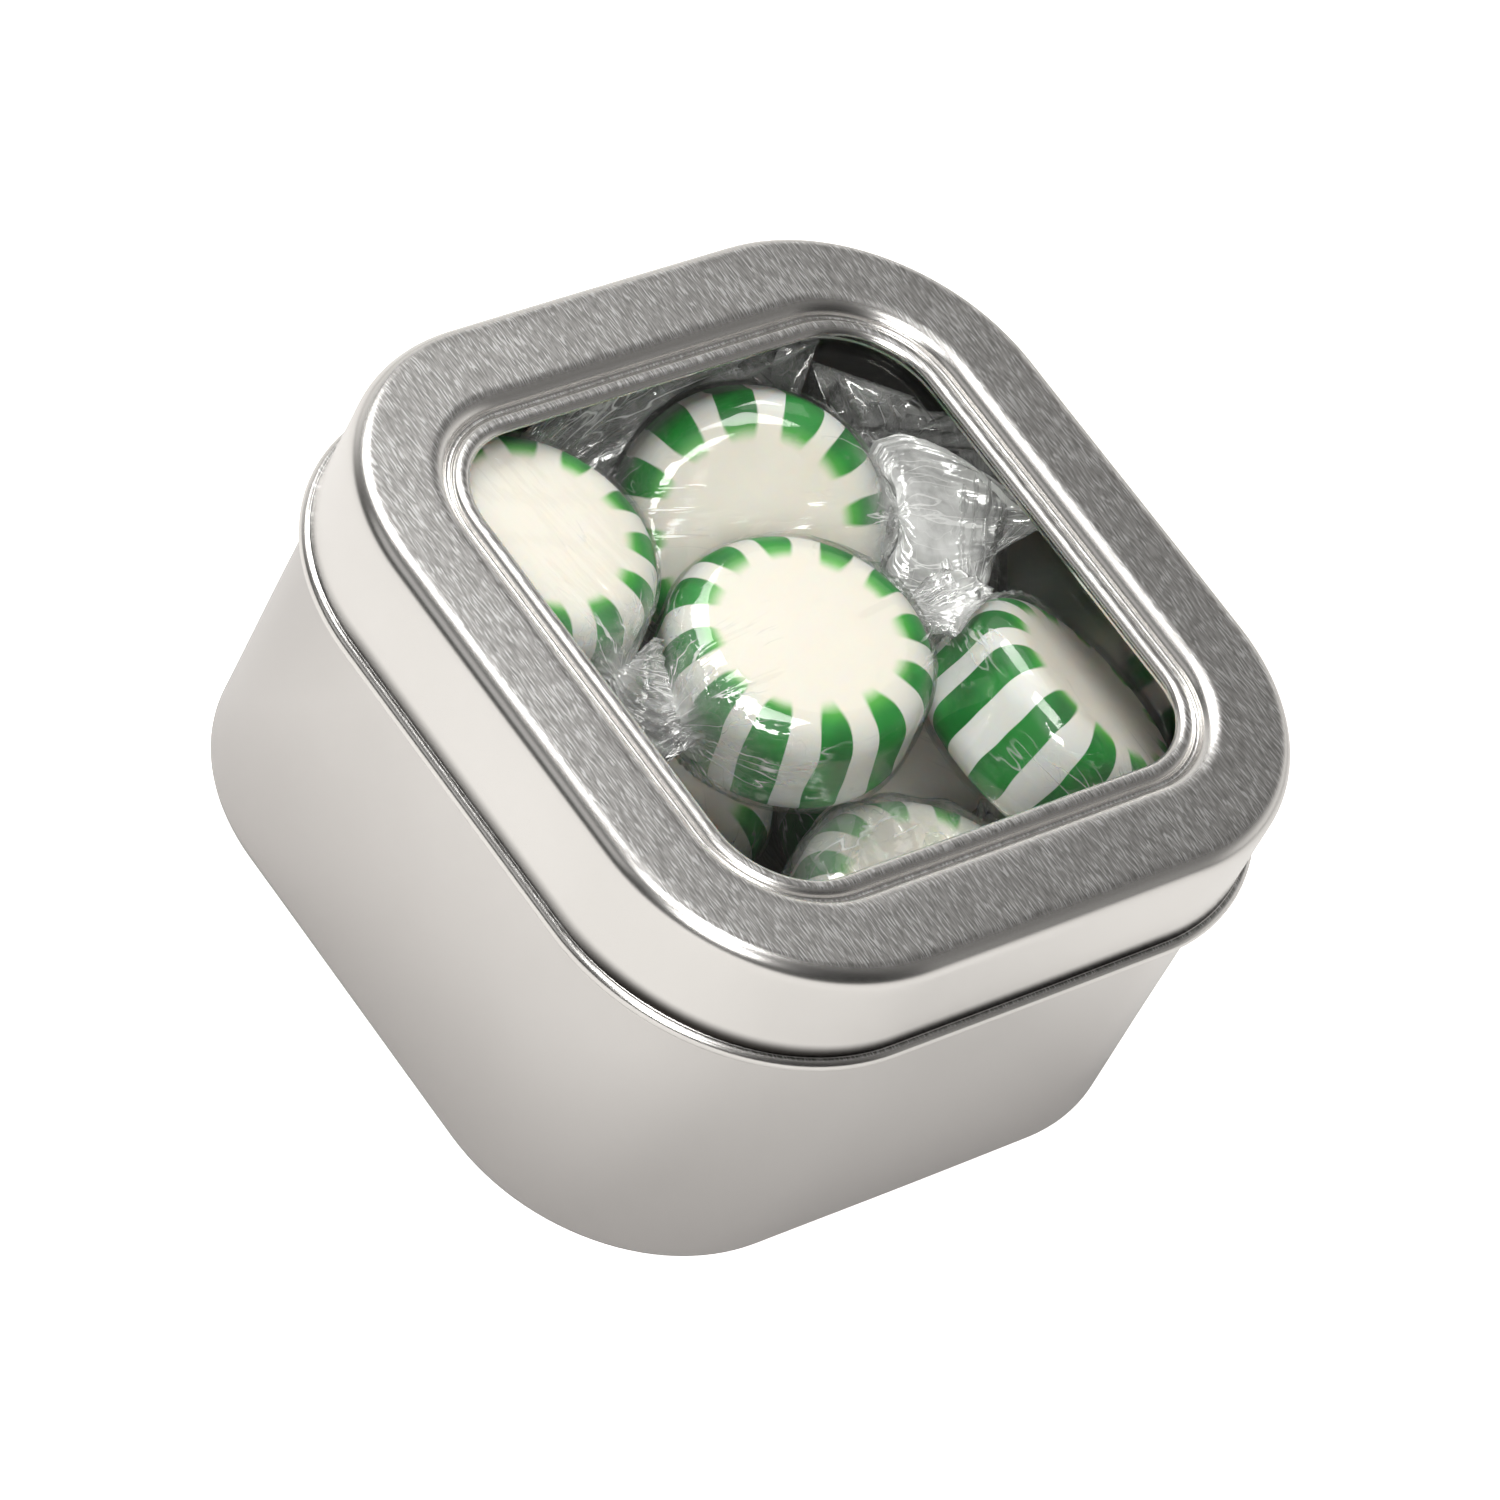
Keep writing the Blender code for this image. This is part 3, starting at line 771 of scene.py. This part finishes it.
def mint_surface(columns, rows):
    """A mint turned about its axis: a slightly domed face, a rounded shoulder and a straight side. Returns
    its grid and, for each row, the distance along the profile from the middle of the side."""
    flat = MINT_RADIUS - MINT_EDGE
    share = np.linspace(0, 1, rows)
    face = np.stack([flat * share, MINT_THICKNESS / 2 - MINT_DOME * share**2], -1)
    centre = (flat, MINT_THICKNESS / 2 - MINT_EDGE)
    shoulder = arc(centre, MINT_EDGE, 90, 0, rows * 2, MINT_EDGE - MINT_DOME)[1:]
    side = straight(shoulder[-1], shoulder[-1] * [1, -1], 6)
    upper = np.concatenate([face, shoulder])
    profile = np.concatenate([upper, side, (upper * [1, -1])[::-1]])
    step = np.linalg.norm(np.diff(profile, axis=0), axis=1)
    along = np.concatenate([[0], np.cumsum(step)])
    along = along[-1] / 2 - along
    turn = np.arange(columns) / columns * 2 * math.pi
    grid = np.stack([
        profile[:, :1] * np.cos(turn), profile[:, :1] * np.sin(turn),
        np.repeat(profile[:, 1:], columns, axis=1),
    ], -1)
    return grid, along


def build_mint(name, mint, places, paint):
    """One mint, swollen here and there by a product of three slow sines, and its stripe map."""
    place, turned = places[name]
    columns, rows = SEEN_MINT_GRID if mint.seen else HIDDEN_MINT_GRID
    grid, along = mint_surface(columns, rows)
    x, y, z = np.moveaxis(grid, -1, 0)
    swell = MINT_SWELL * np.sin(x / 2.3 + mint.phase * 90) * np.sin(y / 2.9) * np.cos(z / 3.1)
    grid = grid * (1 + swell / MINT_RADIUS)[..., None]
    uv = np.stack(np.broadcast_arrays(np.arange(columns) / columns + mint.phase, along[:, None]), -1)
    points = grid @ turned.T + place
    grid_piece("candy_" + name, points, paint, "tin", ["mint_" + name], poles=True, uv=uv)


def film_radius(x, turn):
    """How far the taut film is from the wrapper's axis: on the mint's own section where it touches, found by
    halving, and on the straight line from the neck to the section elsewhere."""
    aim = np.stack([np.cos(turn), np.sin(turn)], -1)
    low = np.zeros((len(x), len(turn)))
    high = np.full((len(x), len(turn)), 2 * MINT_RADIUS)
    for _ in range(HALVINGS):
        middle = (low + high) / 2
        along = np.broadcast_to(x[:, None, None], (*middle.shape, 1))
        point = np.concatenate([along, middle[..., None] * aim], -1)
        outside = disc_distance(point, FILM_MARGIN)[0] > 0
        high = np.where(outside, middle, high)
        low = np.where(outside, low, middle)
    near = NECK_PLACE - x
    share = np.clip(near[:, None] / np.maximum(near[None, :], 1e-6), 0, 1)
    line = NECK_RADIUS + (low[None] - NECK_RADIUS) * share[..., None]
    usable = (x[None, :] <= x[:, None])[..., None]
    return np.maximum(low, np.where(usable, line, 0).max(1))


def ridges(turn, count, warp, rng):
    """Sharp pleats round the axis: a triangle wave of the turn, its spacing warped by two slow sines."""
    first, second = rng.uniform(0, 2 * math.pi, 2)
    bent = turn + warp * np.sin(2 * turn + first) + warp * 0.6 * np.sin(3 * turn + second)
    wave = np.mod(bent * count / (2 * math.pi), 1.0)
    return 1 - np.abs(2 * wave - 1)


def tail_grid(start, heading, tail, turn, rng, steps):
    """One gathered tail: rings that flatten from the round neck into a fan along a bending line, folded in
    zigzags that spread from the neck, so that both layers of the film share the same folds."""
    end = heading if tail.end is None else unit(tail.end)
    share = np.linspace(0, 1, steps + 1)[1:]
    turned = ((1 - (1 - share) ** 4) / 4)[:, None]
    line = start + tail.length * (heading * turned + end * (share[:, None] - turned))
    bent = (1 - (1 - share) ** 3)[:, None]
    aim = heading * ((1 - share) ** 3)[:, None] + end * bent
    aim /= np.linalg.norm(aim, axis=1)[:, None]
    across = np.cross(unit(tail.facing), aim)
    across /= np.linalg.norm(across, axis=1)[:, None]
    thick = np.cross(aim, across)
    width = np.interp(share, np.linspace(0, 1, len(tail.widths)), tail.widths)[:, None]
    place = np.cos(turn)[None, :]
    far = share[:, None]
    spread = np.arccos(np.clip(place, -1, 1)) * 2
    folds = ridges(spread, TAIL_FOLDS, 0.3, rng) - 0.5
    small = ridges(spread + 0.5 * np.sin(far * 7 + place * 3), TAIL_SMALL_FOLDS, 0.4, rng) - 0.5
    rise = 0.3 + far * (1 - 0.35 * far)
    slow = np.sin(place * 2.2 + far * 3.1 + rng.uniform(0, 6)) * 0.6 * far
    kink = np.abs(np.sin(far * 5.3 + place * 1.7 + rng.uniform(0, 6))) - 0.5
    lift = np.sin(turn)[None, :] * (tail.widths[0] * (1 - smooth(far, 0.0, 0.45)) + 0.2)
    lift = lift + tail.depth * (rise * (folds + 0.5 * small) + 0.8 * far * kink) + slow
    ragged = 0.10 * folds + 0.05 * np.sin(place * 9 + 1.0)
    forward = tail.length * far**2 * (ragged - 0.22 * place**2) + 0.4 * tail.depth * small
    forward = forward - tail.sweep * place**2 * smooth(far, 0.0, 0.12) * (1 - far)
    grid = line[:, None] + across[:, None] * (width * place)[..., None] + thick[:, None] * lift[..., None]
    return grid + aim[:, None] * forward[..., None]


def matched(sheet, ring):
    """The tail's columns in the order, forwards or back and shifted, that lies nearest the hull's end."""
    best = None
    columns = sheet.shape[1]
    shifts = range(0, columns, max(columns // 24, 1))
    for turned_sheet in (sheet, sheet[:, ::-1]):
        first = turned_sheet[0]
        costs = [np.linalg.norm(np.roll(first, shift, axis=0) - ring, axis=1).sum() for shift in shifts]
        if best is None or min(costs) < best[0]:
            shift = shifts[int(np.argmin(costs))]
            best = (min(costs), np.roll(turned_sheet, shift, axis=1))
    return best[1]


def kept_clear(points, places, own):
    """Film laid against what it meets: pushed out of each mint, and held inside the tin, under the pane."""
    for _ in range(CLEARING_ROUNDS):
        for name, (place, turned) in places.items():
            local = (points - place) @ turned
            distance, away = disc_distance(local, FILM_MARGIN + (OWN_SPARE if name == own else OTHER_SPARE))
            push = np.maximum(-distance, 0)[..., None] * away
            points = points + push @ turned.T
        flat = INNER_HALF - WALL_SPARE
        corner = BODY_CORNER - 2 * WALL_SPARE
        points[..., :2] = np.clip(points[..., :2], -flat, flat)
        over = np.maximum(np.abs(points[..., :2]) - (flat - corner), 0)
        reach = np.linalg.norm(over, axis=-1)
        shrink = np.where((over.min(-1) > 0) & (reach > corner), corner / np.maximum(reach, 1e-6), 1.0)
        inward = np.sign(points[..., :2]) * (flat - corner + over * shrink[..., None])
        points[..., :2] = np.where((shrink < 1)[..., None], inward, points[..., :2])
        points[..., 2] = np.clip(points[..., 2], HEAP_FLOOR, HEAP_TOP)
    return points


def film_hull(name, turn, steps, rng):
    """The film's middle round one mint at the origin: the taut radius, with pleats that grow towards the
    necks and wind round them, thin folds between them and a slow wave where it is loose. Returns the places
    of its rings along the axis, its points and how crumpled they are."""
    side = NECK_PLACE * np.sin(np.linspace(0, math.pi / 2, steps))
    radius = film_radius(side, turn)
    radius = np.concatenate([radius[:0:-1], radius])
    x = np.concatenate([-side[:0:-1], side])[:, None]
    turn = turn[None, :]
    near = smooth(np.abs(x), PLEATS_START, NECK_PLACE)
    bent = turn + np.sign(x) * smooth(np.abs(x), WIND_START, NECK_PLACE) * NECK_WIND
    pleat = np.where(x > 0, ridges(bent, PLEATS[0], 0.16, rng), ridges(bent, PLEATS[1], 0.2, rng))
    thin = np.where(x > 0, ridges(turn, THIN_FOLDS[0], 0.5, rng), ridges(turn, THIN_FOLDS[1], 0.5, rng))
    fold = smooth(thin, 0.85, 1.0) * smooth(np.abs(x), 2.0, 9.0)
    wander = np.sin(3 * turn + x / 2.1 + rng.uniform(0, 6)) * np.sin(x / 1.7 + 2 * turn)
    loose = LOOSE.get(name, 0.0)
    radius = radius + near**1.5 * (pleat - 0.25) * PLEAT_HEIGHT + fold * THIN_FOLD_HEIGHT
    radius = radius + (0.05 + 0.3 * loose) * (wander + loose) * (1 - near)
    points = np.stack(np.broadcast_arrays(x, radius * np.cos(turn), radius * np.sin(turn)), -1)
    side_on = 1 - smooth(np.abs(points[..., 2]), 5.2, 6.6)
    crumple = 0.9 * near**1.3 + 0.58 * side_on * smooth(np.abs(x), 0.5, PLEATS_START) + loose
    return x, points, np.clip(LEAST_CRUMPLE + crumple, 0, 1)


def film_milk(name, x, tails, tail_steps, columns):
    """How milky the film is: each tail's own share, most at the necks, and nearly none over the mint."""
    near = smooth(np.abs(x), PLEATS_START, NECK_PLACE)
    neck = smooth(np.abs(x), MILK_START, NECK_PLACE)
    ends = np.where(x > 0, tails[0].milk, tails[1].milk)
    hull = LEAST_MILK + (ends - LEAST_MILK) * near**1.5 + (NECK_MILK - ends) * neck
    hull = hull + 0.3 * LOOSE.get(name, 0.0)
    fade = 1 - smooth(np.linspace(0, 1, tail_steps), 0.0, 0.3)[:, None]
    first, last = [tail.milk + (NECK_MILK - tail.milk) * fade for tail in tails]
    return np.concatenate([last[::-1], np.clip(hull, 0, 1), first]) * np.ones(columns)


def build_wrapper(name, places, seen, paint, rng):
    """A bag of film round one mint: the hull round it, and a folded tail beyond each neck."""
    place, turned = places[name]
    tails = TAILS.get(name, (HIDDEN_TAIL, HIDDEN_TAIL))
    unseen = TAILED_WRAPPER_GRID if name in TAILS else HIDDEN_WRAPPER_GRID
    columns, steps, tail_steps = SEEN_WRAPPER_GRID if seen else unseen
    turn = np.arange(columns) / columns * 2 * math.pi
    x, hull, crumple = film_hull(name, turn, steps, rng)
    hull = hull @ turned.T + place
    axis = turned[:, 0]
    sheets = []
    for tail, sign, ring in zip(tails, (1, -1), (hull[-1], hull[0])):
        grid = tail_grid(place + sign * axis * NECK_PLACE, sign * axis, tail, turn, rng, tail_steps)
        sheets.append(kept_clear(matched(grid, ring), places, name))
    points = np.concatenate([sheets[1][::-1], hull, sheets[0]])
    whole = np.ones((tail_steps, columns))
    crumple = np.concatenate([whole, crumple, whole])
    milk = film_milk(name, x, tails, tail_steps, columns)
    step = np.linalg.norm(np.diff(points, axis=0), axis=-1).mean(1)
    along = np.concatenate([[0], np.cumsum(step)])
    uv = np.stack(np.broadcast_arrays(np.arange(columns)[None, :] / columns, along[:, None]), -1)
    grid_piece("film_" + name, points, paint, "tin", ["wrapper_" + name], uv=uv,
               marks={"crumple": crumple, "milk": milk})


# Studio

def add_panel(name, size, energy, place):
    """A soft rectangular light that faces the tin."""
    light = bpy.data.lights.new(name, "AREA")
    light.shape = "RECTANGLE"
    light.size, light.size_y = size
    light.energy = energy
    light.color = (1.0, 0.99, 0.97)
    lamp = bpy.data.objects.new(name, light)
    bpy.context.scene.collection.objects.link(lamp)
    facing = Vector(place).to_track_quat("Z", "Y").to_matrix().to_4x4()
    lamp.matrix_world = Matrix.Translation(place) @ facing


def build_floor():
    """A plain pale floor, which shines a little to the camera alone."""
    floor = bpy.data.meshes.new("floor")
    corners = [(x * FLOOR_HALF, y * FLOOR_HALF, 0) for x, y in ((-1, -1), (1, -1), (1, 1), (-1, 1))]
    floor.from_pydata(corners, [], [(0, 1, 2, 3)])
    made, tree, shader = new_material("floor_white")
    shader.inputs["Base Color"].default_value = (0.82, 0.81, 0.80, 1)
    shader.inputs["Roughness"].default_value = 1.0
    shader.inputs["Specular IOR Level"].default_value = 0.0
    shader.inputs["Emission Color"].default_value = (1, 0.985, 0.965, 1)
    seen = tree.nodes.new("ShaderNodeLightPath").outputs["Is Camera Ray"]
    feed(tree, shader.inputs["Emission Strength"], smooth_range(tree, seen, 0.0, 1.0, 0.0, 1.2))
    floor.materials.append(made)
    plane = bpy.data.objects.new("floor", floor)
    bpy.context.scene.collection.objects.link(plane)
    plane.location.z = -FLOOR_DROP


def build_room():
    """A dim room, dark in front and grey behind, with a brighter band low on its far side."""
    world = bpy.data.worlds.new("room")
    bpy.context.scene.world = world
    world.use_nodes = True
    tree = world.node_tree
    direction = tree.nodes.new("ShaderNodeTexCoord").outputs["Generated"]
    split = add_node(tree, "SeparateXYZ", {}, Vector=direction)
    behind = times(tree, split.outputs["X"], -0.5)
    behind = plus(tree, behind, times(tree, split.outputs["Y"], 0.85))
    low = smooth_range(tree, split.outputs["Z"], 0.12, 0.62, 0.6, 0.0)
    band = times(tree, low, smooth_range(tree, behind, 0.0, 0.6))
    shade = plus(tree, smooth_range(tree, behind, -0.35, 0.55, 0.03, 0.20), band)
    colour = blend_colours(tree, shade, (0, 0, 0, 1), (1, 0.98, 0.95, 1))
    feed(tree, tree.nodes["Background"].inputs["Color"], colour)
    tree.nodes["Background"].inputs["Strength"].default_value = 1.0


def build_camera():
    """The photograph's viewpoint: a long lens looking down over the window's near corner."""
    data = bpy.data.cameras.new("camera")
    data.sensor_width = 36.0
    data.lens = 215.22
    data.shift_x = -0.01661
    data.shift_y = 0.00970
    data.clip_start = 0.01
    camera = bpy.data.objects.new("camera", data)
    bpy.context.scene.collection.objects.link(camera)
    camera.matrix_world = Matrix((
        (0.56187734, -0.74114324, 0.36742421, 0.298628),
        (0.74487389, 0.26010672, -0.61441629, -0.492773),
        (0.35980097, 0.61891129, 0.69820632, 0.583273),
        (0, 0, 0, 1),
    ))
    bpy.context.scene.camera = camera


def main():
    grain = grain_group()
    lid_paint = tinplate("lid_tinplate", grain, LID_LEVEL, LID_SKIRT_TONE, 1.0, crease=CREASE)
    body_paint = tinplate("body_tinplate", grain, BODY_LEVEL, BODY_WALL, 0.0, foot=FOOT_SHADE_HEIGHT)
    candy = hard_candy()
    wrap = film("clear_film", film_group())
    build_tin(body_paint)
    build_lid(lid_paint)
    build_pane(clear_plastic())
    build_pane_frame(lid_paint)
    places = heap_places()
    for number, (name, mint) in enumerate(HEAP.items()):
        build_mint(name, mint, places, candy)
        build_wrapper(name, places, mint.seen, wrap, np.random.default_rng(FIRST_SEED + number))
    for panel in PANELS:
        add_panel(*panel)
    build_floor()
    build_room()
    build_camera()
    bpy.context.scene.view_settings.view_transform = "Standard"


main()
